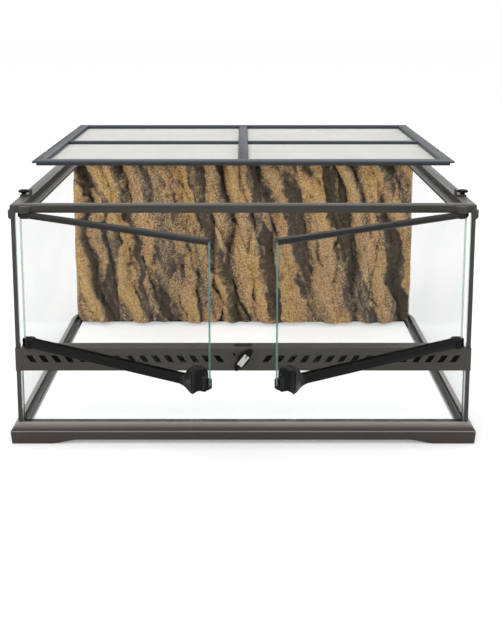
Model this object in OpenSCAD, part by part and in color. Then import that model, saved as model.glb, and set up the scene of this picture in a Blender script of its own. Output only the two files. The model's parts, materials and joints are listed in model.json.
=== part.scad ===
// Front-opening glass terrarium: a glued glass tank in a moulded base and top
// frame, with two hinged doors, a twist lock, a lift-off screen lid held by
// two sliding latches, closable cable inlets and a rock relief background.
// Millimetres, +Z up. Every module is drawn with Y = 0 at the front plane of
// the tank and the doors, lid and gates where they rest; from_front() then
// moves it to the frame's origin, under the middle of the whole object.

/* [Tank] */
// Width over the side panes
tank_w = 588; // [460:2:800]
// Depth from the front plane to the back of the rear pane
tank_d = 438; // [340:2:600]
// Height from the feet to the top rim
tank_h = 320; // [290:1:500]
// Thickness of all glass
glass_t = 4; // [3:0.5:5]
// Set-back of the glass from the front plane
glass_y = 2; // [1.5:0.5:4]
// Silicone fillet along the inside corners of the floor
seam = 5; // [2:0.5:7]

/* [Base frame] */
// Height of the lip round the glass
base_h = 27; // [23:0.5:34]
// Height of the fold where the shoulder starts
fold_h = 17.5; // [14:0.1:22]
// Thickness of the lip beside the glass
lip_t = 2.5; // [2:0.5:4]
// Width of the sloping shoulder
shoulder = 9; // [5:0.5:14]
// Inward lean of the skirt from the fold to the floor
skirt_lean = 1.5; // [0:0.5:3]
// Wall of the skirt
skirt_t = 3; // [2:0.5:4]
// Height of the arch between the feet
arch_h = 5.5; // [3:0.1:8]
// Length of each foot from its corner
foot_l = 50; // [35:1:90]
// Length of the curve from a foot to the arch
foot_run = 38; // [15:1:60]
// Depth that the glass stands in below the lip
glass_bite = 7.5; // [5:0.5:12]
// Width of that ledge under the floor pane
ledge_w = 4; // [3:0.5:30]
// Thickness of that ledge
ledge_t = 3; // [2:0.5:4]

/* [Posts] */
// Length of the posts' legs beside the side panes
post_leg = 12; // [6:0.5:20]
// Thickness of the caps over the tops of the posts
cap_t = 2; // [1.5:0.5:3]
// Drop of those caps below the rim
cap_drop = 8; // [4:0.5:14]

/* [Vent strip] */
// Height of the strip's underside
strip_z = 98; // [70:1:140]
// Height of the strip
strip_h = 31; // [28:1:45]
// Depth of the strip
strip_d = 20; // [16:1:30]
// Wall of the strip
strip_t = 2.5; // [2:0.1:3]
// Height of the crease on its front face, from the underside
crease_h = 10.8; // [8:0.1:12]
// Plain length of the strip outside the last slot
slot_margin = 17; // [14:1:120]
// Distance from one slot to the next
slot_pitch = 16.3; // [12:0.1:20]
// Distance from the middle to the first slot
slot_first = 31.7; // [28:0.1:50]
// Width of a slot
slot_w = 8; // [4:0.5:9]
// Height of a slot
slot_h = 9.5; // [4:0.1:10]
// Sideways lean of a slot over its height
slot_lean = 6.5; // [0:0.5:8]

/* [Top frame] */
// Height of the rim bars
rim_h = 11; // [9:0.5:16]
// Width of the side rims
rim_w = 16.5; // [14:0.5:24]
// Depth of the front bar
front_bar = 10; // [8:0.5:16]
// Width of the ledge that carries the lid
lid_ledge = 10.5; // [6:0.5:16]
// Thickness of that ledge
lid_ledge_t = 3; // [2:0.5:3.5]
// Overhang of the frame outside the side panes
rim_out = 3; // [2.5:0.5:5]
// Depth that the panes reach into the frame
groove_h = 3; // [2:0.5:4]
// Chamfer along the rim's top edges
rim_chamfer = 1.5; // [0.5:0.5:3]

/* [Doors] */
// Distance of each hinge axis inside the outer face of the side pane
hinge_inset = 16; // [15:0.5:24]
// Distance of the hinge axes behind the front plane
hinge_y = 3; // [3:0.5:6]
// Angle at which both doors stand open
door_open = 30; // [0:1:110]
// Gap between the two closed doors
door_gap = 3; // [1:0.5:6]
// Height of the bottom rail
bottom_rail_h = 12; // [10.5:0.5:20]
// Height of the top rail
top_rail_h = 7; // [6.5:0.5:12]
// Thickness of the rails
rail_t = 9; // [7:0.5:12]
// Radius of the hinge barrel
barrel_r = 7.5; // [6:0.5:9]
// Radius of the hinge pins
pin_r = 2.5; // [2:0.1:3]
// Running clearance round the hinge pins
pin_fit = 0.05; // [0.02:0.01:0.1]
// Length of the door that the handle covers
grip_l = 38; // [28:1:50]
// Height of the handle
grip_h = 27; // [22:1:45]
// Reach of the handle in front of the rail
grip_out = 14; // [8:0.5:18]
// Reach of the handle below the rail
grip_drop = 2.5; // [0:0.5:5]
// Slope at the handle's free end, seen from above
grip_slope = 6; // [2:0.5:8]
// Radius of the upright finger ridge on the handle
grip_ridge = 2; // [1:0.1:3]

/* [Lock] */
// Height of the lock's axis above the strip's underside
lock_h = 17; // [16:0.5:18]
// Length of the knob
knob_l = 35; // [28:1:38]
// Width of the knob
knob_w = 13; // [10:0.5:18]
// Thickness of the knob
knob_t = 6.8; // [5:0.1:10]
// Angle of the knob from level, as it stands
knob_angle = 52; // [0:1:90]
// Radius of the spindle
spindle_r = 3; // [2:0.1:3.5]

/* [Lid] */
// Depth of the fixed deck behind the lid
deck_d = 34; // [28:0.5:60]
// Thickness of the whole lid
lid_t = 6.5; // [5:0.5:8]
// Thickness of its flange
flange_t = 2.5; // [1.5:0.5:3]
// Overhang of the flange past the body
flange_out = 4.8; // [2:0.1:6]
// Gap between the flange and the rim
lid_fit = 0.7; // [0.3:0.1:2]
// Front rail
lid_front = 20; // [12:1:30]
// Side rails
lid_side = 15; // [12:1:30]
// Rear rail
lid_rear = 14; // [10:1:30]
// Middle bar, front to rear
lid_bar = 14; // [8:1:24]
// Bars from side to side
lid_cross = 12; // [8:1:24]
// Openings of each screen from side to side
screen_cols = 10; // [4:1:12]
// Openings of each screen from front to rear
screen_rows = 7; // [3:1:12]
// Width of each wire
screen_wire = 1.2; // [0.8:0.1:3]
// Thickness of each wire
screen_t = 0.7; // [0.5:0.1:1]
// Height at which the lid is held above its seat
lid_up = 47; // [10:1:120]
// Room behind the seated lid
lid_room = 9.3; // [8.5:0.1:14]

/* [Latches and inlets] */
// Distance of the latches behind the front plane
latch_y = 54; // [40:1:120]
// Travel of a latch
latch_travel = 6; // [5:0.5:7]
// Diameter of a latch knob
latch_knob = 15; // [10:1:20]
// Length of each cable inlet
inlet_l = 28; // [16:1:40]
// Width of each cable inlet
inlet_w = 15; // [8:1:18]
// Distance from the outer face of the side pane to each inlet
inlet_inset = 104; // [90:1:190]

/* [Background] */
// Mean thickness of the rock panel
rock_t = 27.5; // [18:0.5:60]
// Height of the relief above and below the mean
relief = 12; // [2:0.5:14]
// Gap between the panel and the side panes
rock_gap = 2; // [1.6:0.1:10]
// Top of the panel below the rim
rock_drop = 17; // [14:1:60]

/* [Hidden] */

round_fn = 64;  // facets of round pieces
eps = 0.01;     // overlap that keeps cuts clean
air = 0.3;      // gap between pieces that pass or rest loosely on each other
through = 60;   // length of a cut that goes right through a wall
curve_steps = 10;  // straight pieces of a drawn curve

charcoal = [0.22, 0.21, 0.2];
dark = [0.16, 0.155, 0.15];
clear_glass = [0.75, 0.9, 0.87, 0.3];
clear_seal = [0.88, 0.9, 0.9, 0.5];
steel = [0.7, 0.71, 0.73];
silver = [0.86, 0.86, 0.86];
mesh_grey = [0.85, 0.85, 0.83];
rock_brown = [0.62, 0.48, 0.3];

half_w = tank_w / 2;
ledge_z = base_h - glass_bite;       // the ledge that carries the glass
inner_w = half_w - glass_t;
glass_bottom = ledge_z;
floor_top = ledge_z + glass_t;
rim_z = tank_h - rim_h;
glass_top = rim_z + groove_h;
rear_inside = tank_d - glass_t;
deck_y = tank_d - deck_d;            // front of the rear deck

// Base frame
lip_x = half_w + lip_t;
lip_y0 = glass_y - lip_t;
lip_y1 = tank_d + lip_t;
base_back = lip_y1 + shoulder;

// Vent strip
strip_y = -1;
strip_top = strip_z + strip_h;
strip_back = strip_y + strip_d;
pane_grip = 5;                       // depth that the front pane reaches into the strip
front_pane_top = strip_z + pane_grip;
slot_z = strip_z + 16.4;
wrap_x = half_w + rim_out;
lock_z = strip_z + lock_h;
mesh_t = 0.6;
slot_count = floor((half_w - slot_margin - slot_first) / slot_pitch) + 1;

// Doors
hinge_x = half_w - hinge_inset;
door_z0 = strip_top + air;
door_z1 = rim_z - air;
door_end = -(barrel_r + 1.5);        // far end of the door, past its hinge axis
door_free = hinge_x - door_gap / 2;  // free edge, from the hinge axis
rail_bite = 8;                       // depth that the glass stands in the bottom rail
pane_z0 = door_z0 + bottom_rail_h - rail_bite;
pane_z1 = door_z1 - top_rail_h + 3;
pin_seat = 8;                        // length of a pin inside the strip or frame
lower_pin_reach = bottom_rail_h - rail_bite - 0.4;
upper_pin_reach = 3.2;
socket_r = barrel_r + 2;
rail_front = hinge_y - rail_t / 2;   // front face of a closed door's rails

// Lock
knob_back = rail_front - 0.7;
knob_tip_r = 3.2;
knob_sweep = knob_l / 2 + 1;
insert_l = 17;
insert_w = 7.5;
insert_t = 1.2;

// Lid, drawn from its own front edge and underside
rim_inside = half_w + rim_out - rim_w;
lid_half = rim_inside - lid_fit;
seat_y = strip_y + front_bar + lid_fit;
seat_z = rim_z + lid_ledge_t + air;
lid_y = seat_y + lid_up;
lid_z = seat_z + lid_up;
lid_d = deck_y - lid_room - seat_y;
window_d = (lid_d - lid_front - lid_rear - lid_cross) / 2;
window_w = lid_half - lid_side - lid_bar / 2;
screen_z = 0.4;

// Latches
latch_x = half_w - 3;
latch_z = tank_h + air;
latch_t = 2;
latch_w = 12;

// Inlet gates
gate_t = 1.9;
gate_pocket = gate_t + air;
gate_l = inlet_l + 6;
gate_w = inlet_w + 6;
gate_travel = inlet_l + 2;
inlet_x = half_w - inlet_inset;
inlet_y = (deck_y + tank_d) / 2;

// The open doors reach furthest forward, at the handle
grip_end = door_free - 1;
door_reach = hinge_y - (grip_end - grip_slope) * sin(door_open)
    - (rail_t / 2 + grip_out) * cos(door_open);
front_y = -(door_reach + base_back) / 2;

module from_front() translate([0, front_y, 0]) children();

module box(x0, x1, y0, y1, z0, z1) translate([x0, y0, z0]) cube([x1 - x0, y1 - y0, z1 - z0]);

// Children, and their mirror image on the other side of the middle
module both_sides() {
    children();
    mirror([1, 0, 0]) children();
}

// A profile of [y, z] points, drawn along X from x0 to x1
module along_x(x0, x1) translate([x0, 0, 0]) rotate([90, 0, 90]) linear_extrude(x1 - x0) children();

// A profile of [x, z] points, drawn along Y from y0 to y1
module along_y(y0, y1) translate([0, y1, 0]) rotate([90, 0, 0]) linear_extrude(y1 - y0) children();

// A smooth rise from 0 to 1 as t goes from 0 to 1
function ease(t) = (1 - cos(180 * t)) / 2;

// ---------- Base frame ----------

// One curve between a foot and the arch, from s = 0 at the foot
function arch_curve(start, way) = [
    for (i = [0 : curve_steps])
        [start + way * foot_run * i / curve_steps, arch_h * ease(i / curve_steps)]
];
function reversed(list) = [for (i = [len(list) - 1 : -1 : 0]) list[i]];

// Outline of the base seen from one side, between lips at a and b
module base_outline(a, b) {
    foot_a = a - shoulder + skirt_lean;
    foot_b = b + shoulder - skirt_lean;
    polygon(concat(
        [[foot_a, 0]],
        arch_curve(foot_a + foot_l, 1),
        reversed(arch_curve(foot_b - foot_l, -1)),
        [[foot_b, 0], [b + shoulder, fold_h], [b, base_h], [a, base_h], [a - shoulder, fold_h]]
    ));
}

module base_frame() color(charcoal) from_front() difference() {
    intersection() {
        along_y(-through, tank_d + through) base_outline(-lip_x, lip_x);
        along_x(-half_w - through, half_w + through) base_outline(lip_y0, lip_y1);
    }
    // Seat of the glass
    box(-half_w, half_w, glass_y, tank_d, ledge_z, base_h + 1);
    // Opening under the floor pane
    box(-inner_w + ledge_w, inner_w - ledge_w, glass_y + ledge_w, rear_inside - ledge_w,
        -1, base_h + 1);
    // Hollow underside, outside of the ledge's inner edge
    underside_x = lip_x + shoulder - skirt_lean - skirt_t;
    box(-underside_x, underside_x, lip_y0 - shoulder + skirt_lean + skirt_t,
        base_back - skirt_lean - skirt_t, -1, ledge_z - ledge_t);
}

// ---------- Glass ----------

module side_pane() box(inner_w, half_w, glass_y, tank_d, glass_bottom, glass_top);

module floor_pane() color(clear_glass) from_front()
    box(-inner_w, inner_w, glass_y + glass_t, rear_inside, glass_bottom, floor_top);
module left_pane() color(clear_glass) from_front() mirror([1, 0, 0]) side_pane();
module right_pane() color(clear_glass) from_front() side_pane();
module rear_pane() color(clear_glass) from_front()
    box(-inner_w, inner_w, rear_inside, tank_d, glass_bottom, glass_top);
module front_pane() color(clear_glass) from_front()
    box(-inner_w, inner_w, glass_y, glass_y + glass_t, glass_bottom, front_pane_top);

// Triangular bead that fills the corner at the origin, on the +X, +Y side
module bead(leg) polygon([[0, 0], [leg, 0], [0, leg]]);

module silicone_seams() color(clear_seal) from_front() {
    corner_bead = 1.5;
    front_inside = glass_y + glass_t;
    rock_front = rear_inside - air - rock_t - relief;
    both_sides() {
        // Along the floor
        translate([inner_w, 0, floor_top]) mirror([1, 0, 0])
            along_y(front_inside + seam, rock_front - 4) bead(seam);
        // Up the front and rear corners
        translate([inner_w, front_inside, floor_top + seam]) mirror([1, 0, 0])
            linear_extrude(strip_z - floor_top - seam - 1) bead(corner_bead);
        translate([inner_w, rear_inside, floor_top]) mirror([1, 0, 0]) mirror([0, 1, 0])
            linear_extrude(rim_z - floor_top - 1) bead(corner_bead);
    }
    // Along the foot of the front pane
    translate([0, front_inside, floor_top]) along_x(-inner_w, inner_w) bead(seam);
}

// ---------- Front posts ----------

// L-shaped trim over the front edge of a side pane
module post(z0, z1) {
    web = 1;
    box(inner_w + web, half_w + lip_t, glass_y - 2, glass_y, z0, z1);
    box(half_w, half_w + lip_t, glass_y - eps, glass_y + post_leg, z0, z1);
}

module right_lower_post() color(charcoal) from_front() post(base_h, strip_z);
module left_lower_post() color(charcoal) from_front() mirror([1, 0, 0]) post(base_h, strip_z);
module right_upper_post() color(charcoal) from_front() post(strip_top, rim_z);
module left_upper_post() color(charcoal) from_front() mirror([1, 0, 0]) post(strip_top, rim_z);

// ---------- Vent strip ----------

// Section of the strip: front and top walls, and a foot that grips the pane
module strip_section() {
    top_r = 2;
    f = strip_y;
    grip_back = glass_y + glass_t + 3;
    translate([f, strip_z]) difference() {
        union() {
            polygon([
                [1, 0], [0, crease_h], [0, strip_h - top_r], [top_r, strip_h],
                [strip_d, strip_h], [strip_d, strip_h - 12], [strip_d - strip_t, strip_h - 12],
                [strip_d - strip_t, strip_h - strip_t], [strip_t, strip_h - strip_t],
                [strip_t, pane_grip + strip_t], [grip_back - f, pane_grip + strip_t],
                [grip_back - f, 0]
            ]);
            translate([top_r, strip_h - top_r]) circle(r = top_r, $fn = round_fn);
        }
        // Groove for the top edge of the front pane
        translate([glass_y - f, -1]) square([glass_t, pane_grip + 1]);
    }
}

module slot_hole(lean) along_y(strip_y - 1, strip_y + strip_t + 0.5) polygon([
    [-slot_w / 2 - lean / 2, slot_h / 2], [slot_w / 2 - lean / 2, slot_h / 2],
    [slot_w / 2 + lean / 2, -slot_h / 2], [-slot_w / 2 + lean / 2, -slot_h / 2]
]);

module vent_strip() color(charcoal) from_front() difference() {
    union() {
        along_x(-inner_w, inner_w) strip_section();
        both_sides() {
            // Ends that wrap round the side panes
            box(inner_w - eps, wrap_x, strip_y, glass_y, strip_z, strip_top);
            box(half_w, wrap_x, strip_y, strip_back, strip_z, strip_top);
            // Boss of the lower hinge pin
            translate([hinge_x, hinge_y, strip_top - pin_seat - 1])
                cylinder(r = pin_r + 1.4, h = pin_seat + 1 - eps, $fn = round_fn);
        }
    }
    both_sides() {
        for (i = [0 : slot_count - 1])
            translate([slot_first + i * slot_pitch, 0, slot_z]) slot_hole(-slot_lean);
        translate([hinge_x, hinge_y, strip_top - pin_seat])
            cylinder(r = pin_r, h = pin_seat + 1, $fn = round_fn);
    }
    // Bore of the lock spindle
    translate([0, strip_y - 1, lock_z]) rotate([-90, 0, 0])
        cylinder(r = spindle_r + pin_fit, h = strip_t + 2, $fn = round_fn);
}

module vent_mesh() color(dark) from_front() difference() {
    mesh_y = strip_y + strip_t;
    box(-inner_w + 1, inner_w - 1, mesh_y, mesh_y + mesh_t,
        front_pane_top + strip_t, strip_top - pin_seat - 1.2);
    translate([0, mesh_y - 1, lock_z]) rotate([-90, 0, 0])
        cylinder(r = spindle_r + 4, h = mesh_t + 2, $fn = round_fn);
}

// Rib on the strip that the closed doors come up against
module door_stop() color(charcoal) from_front() {
    stop_l = 23;
    stop_y = hinge_y + rail_t / 2 + air;
    along_x(-stop_l / 2, stop_l / 2) polygon([
        [stop_y, strip_top], [stop_y, strip_top + 3.5], [stop_y + 1.5, strip_top + 3.5],
        [stop_y + 4, strip_top]
    ]);
}

module lock_stop_pin() color(charcoal) from_front()
    translate([-11.8, strip_y - 1, lock_z + 5.7]) rotate([-90, 0, 0])
        cylinder(r = 1.8, h = 1, $fn = round_fn);

// ---------- Top frame ----------

module rim_outline(a, b) polygon([
    [a, rim_z], [b, rim_z], [b, tank_h - rim_chamfer], [b - rim_chamfer, tank_h],
    [a + rim_chamfer, tank_h], [a, tank_h - rim_chamfer]
]);

module rim_bars() intersection() {
    union() {
        both_sides() {
            box(rim_inside, wrap_x, strip_y, tank_d + rim_out, rim_z, tank_h);
            box(rim_inside - lid_ledge, rim_inside + eps, strip_y, tank_d, rim_z,
                rim_z + lid_ledge_t);
        }
        box(-wrap_x, wrap_x, strip_y, strip_y + front_bar, rim_z, tank_h);
        box(-wrap_x, wrap_x, strip_y, seat_y + lid_ledge, rim_z, rim_z + lid_ledge_t);
        box(-wrap_x, wrap_x, deck_y, tank_d + rim_out, rim_z, tank_h);
        box(-wrap_x, wrap_x, seat_y + lid_d - lid_ledge, deck_y + eps, rim_z,
            rim_z + lid_ledge_t);
    }
    along_y(strip_y - 1, tank_d + rim_out + 1) rim_outline(-wrap_x, wrap_x);
    along_x(-wrap_x - 1, wrap_x + 1) rim_outline(strip_y, tank_d + rim_out);
}

// Corner cap that comes down round the outside of a post
module post_cap() {
    outer_x = wrap_x + cap_t;
    front = strip_y - cap_t;
    corner = 2.5;
    intersection() {
        union() {
            box(inner_w + air, outer_x, front, strip_y + eps, rim_z, rim_z + cap_drop / 2);
            box(wrap_x - eps, outer_x, front, glass_y + post_leg + cap_t, rim_z,
                rim_z + cap_drop / 2);
            // Skirt, open towards the post
            box(inner_w + air, outer_x, front, glass_y - 2 - air, rim_z - cap_drop, rim_z + eps);
            box(half_w + lip_t + air, outer_x, front, glass_y + post_leg + cap_t,
                rim_z - cap_drop, rim_z + eps);
        }
        // Corners cut at a slant, seen from the front
        along_y(-through, through) polygon([
            [inner_w, rim_z - cap_drop + corner], [inner_w + corner, rim_z - cap_drop],
            [outer_x - corner, rim_z - cap_drop], [outer_x, rim_z - cap_drop + corner],
            [outer_x, tank_h], [inner_w, tank_h]
        ]);
    }
}

module top_frame() color(charcoal) from_front() difference() {
    union() {
        rim_bars();
        both_sides() {
            // Socket of the upper hinge pin, cut off flush behind the front bar
            intersection() {
                translate([hinge_x, hinge_y, rim_z])
                    cylinder(r = socket_r, h = rim_h - 2, $fn = round_fn);
                box(0, wrap_x, -through, strip_y + front_bar, 0, tank_h);
            }
            post_cap();
        }
    }
    // Grooves for the panes
    both_sides() {
        box(inner_w, half_w, glass_y, tank_d, rim_z - 1, glass_top);
        translate([hinge_x, hinge_y, rim_z - 1])
            cylinder(r = pin_r, h = pin_seat + 1, $fn = round_fn);
        // Guide slot of the latch
        box(latch_x - latch_travel - 2 - air, latch_x + 2 + air, latch_y - 2 - air,
            latch_y + 2 + air, tank_h - 3, tank_h + 1);
        // Cable inlet and the pocket of its gate
        box(inlet_x - inlet_l / 2, inlet_x + inlet_l / 2, inlet_y - inlet_w / 2,
            inlet_y + inlet_w / 2, rim_z - 1, tank_h + 1);
        box(inlet_x - gate_l / 2 - air, inlet_x + gate_l / 2 + gate_travel + air,
            inlet_y - gate_w / 2 - air, inlet_y + gate_w / 2 + air, tank_h - gate_pocket,
            tank_h + 1);
    }
    box(-half_w, half_w, rear_inside, tank_d, rim_z - 1, glass_top);
}

// Sliding gate of a cable inlet, drawn where it stands open
module inlet_gate() {
    x0 = inlet_x + gate_travel - gate_l / 2;
    box(x0, x0 + gate_l, inlet_y - gate_w / 2, inlet_y + gate_w / 2, tank_h - gate_t, tank_h);
    for (i = [0 : 2])
        box(x0 + 4 + 4 * i, x0 + 5.5 + 4 * i, inlet_y - gate_w / 4, inlet_y + gate_w / 4,
            tank_h - eps, tank_h + 1);
}

module right_inlet_gate() color(dark) from_front() inlet_gate();
module left_inlet_gate() color(dark) from_front() mirror([1, 0, 0]) inlet_gate();

// ---------- Hinge pins ----------

module lower_hinge_pins() color(steel) from_front() both_sides()
    translate([hinge_x, hinge_y, strip_top - pin_seat])
        cylinder(r = pin_r, h = pin_seat + air + lower_pin_reach, $fn = round_fn);

module upper_hinge_pins() color(steel) from_front() both_sides()
    translate([hinge_x, hinge_y, rim_z - air - upper_pin_reach])
        cylinder(r = pin_r, h = pin_seat + air + upper_pin_reach, $fn = round_fn);

// ---------- Doors ----------
// Each part is drawn closed, for the left door, with the hinge axis on the Z
// axis and the door along +X; hung() opens it and puts it on its hinge.

module hung_left() from_front() translate([-hinge_x, hinge_y, 0]) rotate([0, 0, -door_open])
    children();
module hung_right() from_front() translate([hinge_x, hinge_y, 0]) rotate([0, 0, door_open])
    mirror([1, 0, 0]) children();

module door_pane() box(door_end, door_free, -glass_t / 2, glass_t / 2, pane_z0, pane_z1);

// Rail with sloping front edges; z grows from its outer edge towards the glass
module rail_bar(h) {
    bevel = 2;
    along_x(door_end, door_free) polygon([
        [-rail_t / 2 + bevel / 2, 0], [-rail_t / 2, bevel], [-rail_t / 2, h - bevel],
        [-rail_t / 2 + bevel, h], [rail_t / 2 - 1, h], [rail_t / 2, h - 1], [rail_t / 2, 0]
    ]);
    cylinder(r = barrel_r, h = h, $fn = round_fn);
}

// A rail with its groove for the glass from groove_z and its pin bore to pin_z
module door_rail(h, groove_z, pin_z) difference() {
    rail_bar(h);
    box(door_end - 1, door_free + 1, -glass_t / 2, glass_t / 2, groove_z, h + 1);
    translate([0, 0, -1]) cylinder(r = pin_r + pin_fit, h = pin_z + 1, $fn = round_fn);
}

module door_bottom_rail() translate([0, 0, door_z0])
    door_rail(bottom_rail_h, pane_z0 - door_z0, lower_pin_reach + 0.2);
module door_top_rail() translate([0, 0, door_z1]) mirror([0, 0, 1])
    door_rail(top_rail_h, door_z1 - pane_z1, upper_pin_reach + 0.2);

// Front outline of the handle, which swells from the rail to a rounded hump
module grip_outline() {
    start = door_free - grip_l;
    swell = 0.55 * grip_l;
    top_r = 7;
    function drawn(level, t) = [start + swell * t, level * ease(t)];
    polygon(concat(
        [[grip_end, air], [grip_end - grip_slope / 2, -grip_drop]],
        [for (i = [curve_steps : -1 : 0]) drawn(-grip_drop - air, i / curve_steps) + [0, air]],
        [for (i = [0 : curve_steps])
            drawn(grip_h - bottom_rail_h + 1, i / curve_steps) + [0, bottom_rail_h - 1]],
        [for (i = [0 : curve_steps]) let (turn = 90 - 90 * i / curve_steps)
            [grip_end - top_r + top_r * cos(turn), grip_h - top_r + top_r * sin(turn)]]
    ));
}

// Reach of the handle in front of the rail, at x along the door
function grip_reach(x) =
    1 + (grip_out - 1) * ease(min(1, (x - door_free + grip_l) / (grip_l - 1 - grip_slope)));

// Outline of the handle from above
module grip_plan() {
    face = -rail_t / 2;
    start = door_free - grip_l;
    slope_back = 0.6 * grip_slope;   // keeps the foremost point at the slope's start
    polygon(concat(
        [for (i = [0 : curve_steps])
            let (x = start + (grip_l - 1 - grip_slope) * i / curve_steps)
            [x, face - grip_reach(x)]],
        [[grip_end, face - grip_out + slope_back], [grip_end, -glass_t / 2],
            [start, -glass_t / 2]]
    ));
}

module door_handle() {
    face = -rail_t / 2;
    knob_room = 30;
    ridge_x = door_free - 15;
    translate([0, 0, door_z0]) difference() {
        union() {
            intersection() {
                along_y(face - grip_out, -glass_t / 2) grip_outline();
                translate([0, 0, -grip_drop]) linear_extrude(grip_drop + grip_h) grip_plan();
            }
            // Finger ridge
            translate([ridge_x, face - grip_reach(ridge_x) + grip_ridge / 2, 2])
                cylinder(r = grip_ridge, h = grip_h - 6, $fn = round_fn);
        }
        // Seat on the rail
        box(0, door_free + 1, face, rail_t, -grip_drop - 1, bottom_rail_h);
        // Room for the tip of the turning lock knob
        translate([hinge_x, face - knob_room, lock_z - door_z0]) rotate([-90, 0, 0])
            cylinder(r = knob_sweep, h = knob_room - air, $fn = round_fn);
    }
}

module left_door_pane() color(clear_glass) hung_left() door_pane();
module left_door_top_rail() color(charcoal) hung_left() door_top_rail();
module left_door_bottom_rail() color(charcoal) hung_left() door_bottom_rail();
module left_door_handle() color(dark) hung_left() door_handle();
module right_door_pane() color(clear_glass) hung_right() door_pane();
module right_door_top_rail() color(charcoal) hung_right() door_top_rail();
module right_door_bottom_rail() color(charcoal) hung_right() door_bottom_rail();
module right_door_handle() color(dark) hung_right() door_handle();

// ---------- Lock ----------
// Drawn about the lock's axis with Z forward, long side along X

module on_lock() from_front() translate([0, knob_back, lock_z]) rotate([90, 0, 0])
    rotate([0, 0, knob_angle]) children();

module knob_shape() hull() {
    circle(d = knob_w, $fn = 32);
    for (way = [-1, 1])
        translate([way * (knob_l / 2 - knob_tip_r), 0]) circle(r = knob_tip_r, $fn = 32);
}

module lock_knob() color(dark) on_lock() difference() {
    linear_extrude(knob_t) knob_shape();
    translate([-insert_l / 2, -insert_w / 2, knob_t - insert_t])
        cube([insert_l, insert_w, insert_t + 1]);
    translate([0, 0, -1]) cylinder(r = spindle_r, h = 4, $fn = round_fn);
}

module lock_insert() color(silver) on_lock() difference() {
    translate([-insert_l / 2, -insert_w / 2, knob_t - insert_t])
        cube([insert_l, insert_w, insert_t + 0.4]);
    translate([-insert_l, -0.8, knob_t]) cube([2 * insert_l, 1.6, 2]);
}

module lock_spindle() color(steel) on_lock() {
    reach = strip_y + strip_t + 4 - knob_back;
    translate([0, 0, -reach]) cylinder(r = spindle_r, h = reach + 3, $fn = round_fn);
}

// Push-on washer that holds the spindle behind the strip's front wall
module lock_retainer() color(steel) on_lock() {
    wall_back = strip_y + strip_t - knob_back;
    translate([0, 0, -wall_back - air - 1.5]) difference() {
        cylinder(r = spindle_r + 3.5, h = 1.5, $fn = round_fn);
        translate([0, 0, -1]) cylinder(r = spindle_r, h = 4, $fn = round_fn);
    }
}

// ---------- Lid ----------

module held_lid() from_front() translate([0, lid_y, lid_z]) children();

module lid_frame() color(charcoal) held_lid() difference() {
    notch_l = 9;
    union() {
        box(-lid_half, lid_half, 0, lid_d, lid_t - flange_t, lid_t);
        box(-lid_half + flange_out, lid_half - flange_out, flange_out, lid_d - flange_out,
            0, lid_t - flange_t + eps);
    }
    box(-lid_half + lid_side, lid_half - lid_side, lid_front, lid_d - lid_rear, -1, lid_t + 1);
    // Notches along the side flanges
    for (share = [0.245, 0.886])
        both_sides() box(lid_half - 4, lid_half + 1, share * lid_d - notch_l / 2,
            share * lid_d + notch_l / 2, lid_t - flange_t - 1, lid_t + 1);
}

module lid_middle_bar() color(charcoal) held_lid()
    along_y(lid_front, lid_d - lid_rear) polygon([
        [-lid_bar / 2, 0], [lid_bar / 2, 0], [lid_bar / 2, lid_t - 2],
        [lid_bar / 2 - 1.5, lid_t - 0.5], [-lid_bar / 2 + 1.5, lid_t - 0.5],
        [-lid_bar / 2, lid_t - 2]
    ]);

module lid_cross_bars() color(charcoal) held_lid() both_sides()
    box(lid_bar / 2, lid_half - lid_side, lid_front + window_d,
        lid_front + window_d + lid_cross, 0, lid_t - 1);

// One screen: wires from front to rear, and wires from side to side over them
module lid_screen(row) {
    over = screen_t + 0.05;
    translate([lid_bar / 2, lid_front + row * (window_d + lid_cross), screen_z]) {
        for (i = [0 : screen_cols])
            translate([i * (window_w - screen_wire) / screen_cols, 0, 0])
                cube([screen_wire, window_d, screen_t]);
        for (j = [0 : screen_rows])
            translate([0, j * (window_d - screen_wire) / screen_rows, over])
                cube([window_w, screen_wire, screen_t]);
    }
}

module lid_screen_front_right() color(mesh_grey) held_lid() lid_screen(0);
module lid_screen_rear_right() color(mesh_grey) held_lid() lid_screen(1);
module lid_screen_front_left() color(mesh_grey) held_lid() mirror([1, 0, 0]) lid_screen(0);
module lid_screen_rear_left() color(mesh_grey) held_lid() mirror([1, 0, 0]) lid_screen(1);

// ---------- Latches ----------
// Drawn on the right rim, drawn back clear of the lid

module latch_slide() {
    inner_end = lid_half + 1.2;
    tab_h = 9;
    box(inner_end, latch_x + 4, latch_y - latch_w / 2, latch_y + latch_w / 2, latch_z,
        latch_z + latch_t);
    // Upright thumb tab
    box(inner_end, inner_end + 1.5, latch_y - latch_w / 2, latch_y + latch_w / 2,
        latch_z + latch_t - eps, latch_z + tab_h);
    // Stud in the guide slot
    box(latch_x - 2, latch_x + 2, latch_y - 2, latch_y + 2, latch_z - 2.7, latch_z + eps);
}

module latch_knob_piece() translate([latch_x, latch_y, latch_z + latch_t]) {
    stem_h = 2.5;
    knob_r = latch_knob / 2;
    cylinder(r = 3, h = stem_h, $fn = round_fn);
    // Mushroom cap
    translate([0, 0, stem_h]) rotate_extrude($fn = round_fn) polygon([
        [0, -eps], [knob_r - 1.5, -eps], [knob_r - 0.4, 0.6], [knob_r, 1.6], [knob_r - 0.8, 2.8],
        [knob_r - 2.6, 3.6], [knob_r / 3, 4], [0, 4]
    ]);
}

module right_latch_slide() color(charcoal) from_front() latch_slide();
module left_latch_slide() color(charcoal) from_front() mirror([1, 0, 0]) latch_slide();
module right_latch_knob() color(dark) from_front() latch_knob_piece();
module left_latch_knob() color(dark) from_front() mirror([1, 0, 0]) latch_knob_piece();

// ---------- Rock background ----------

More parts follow.
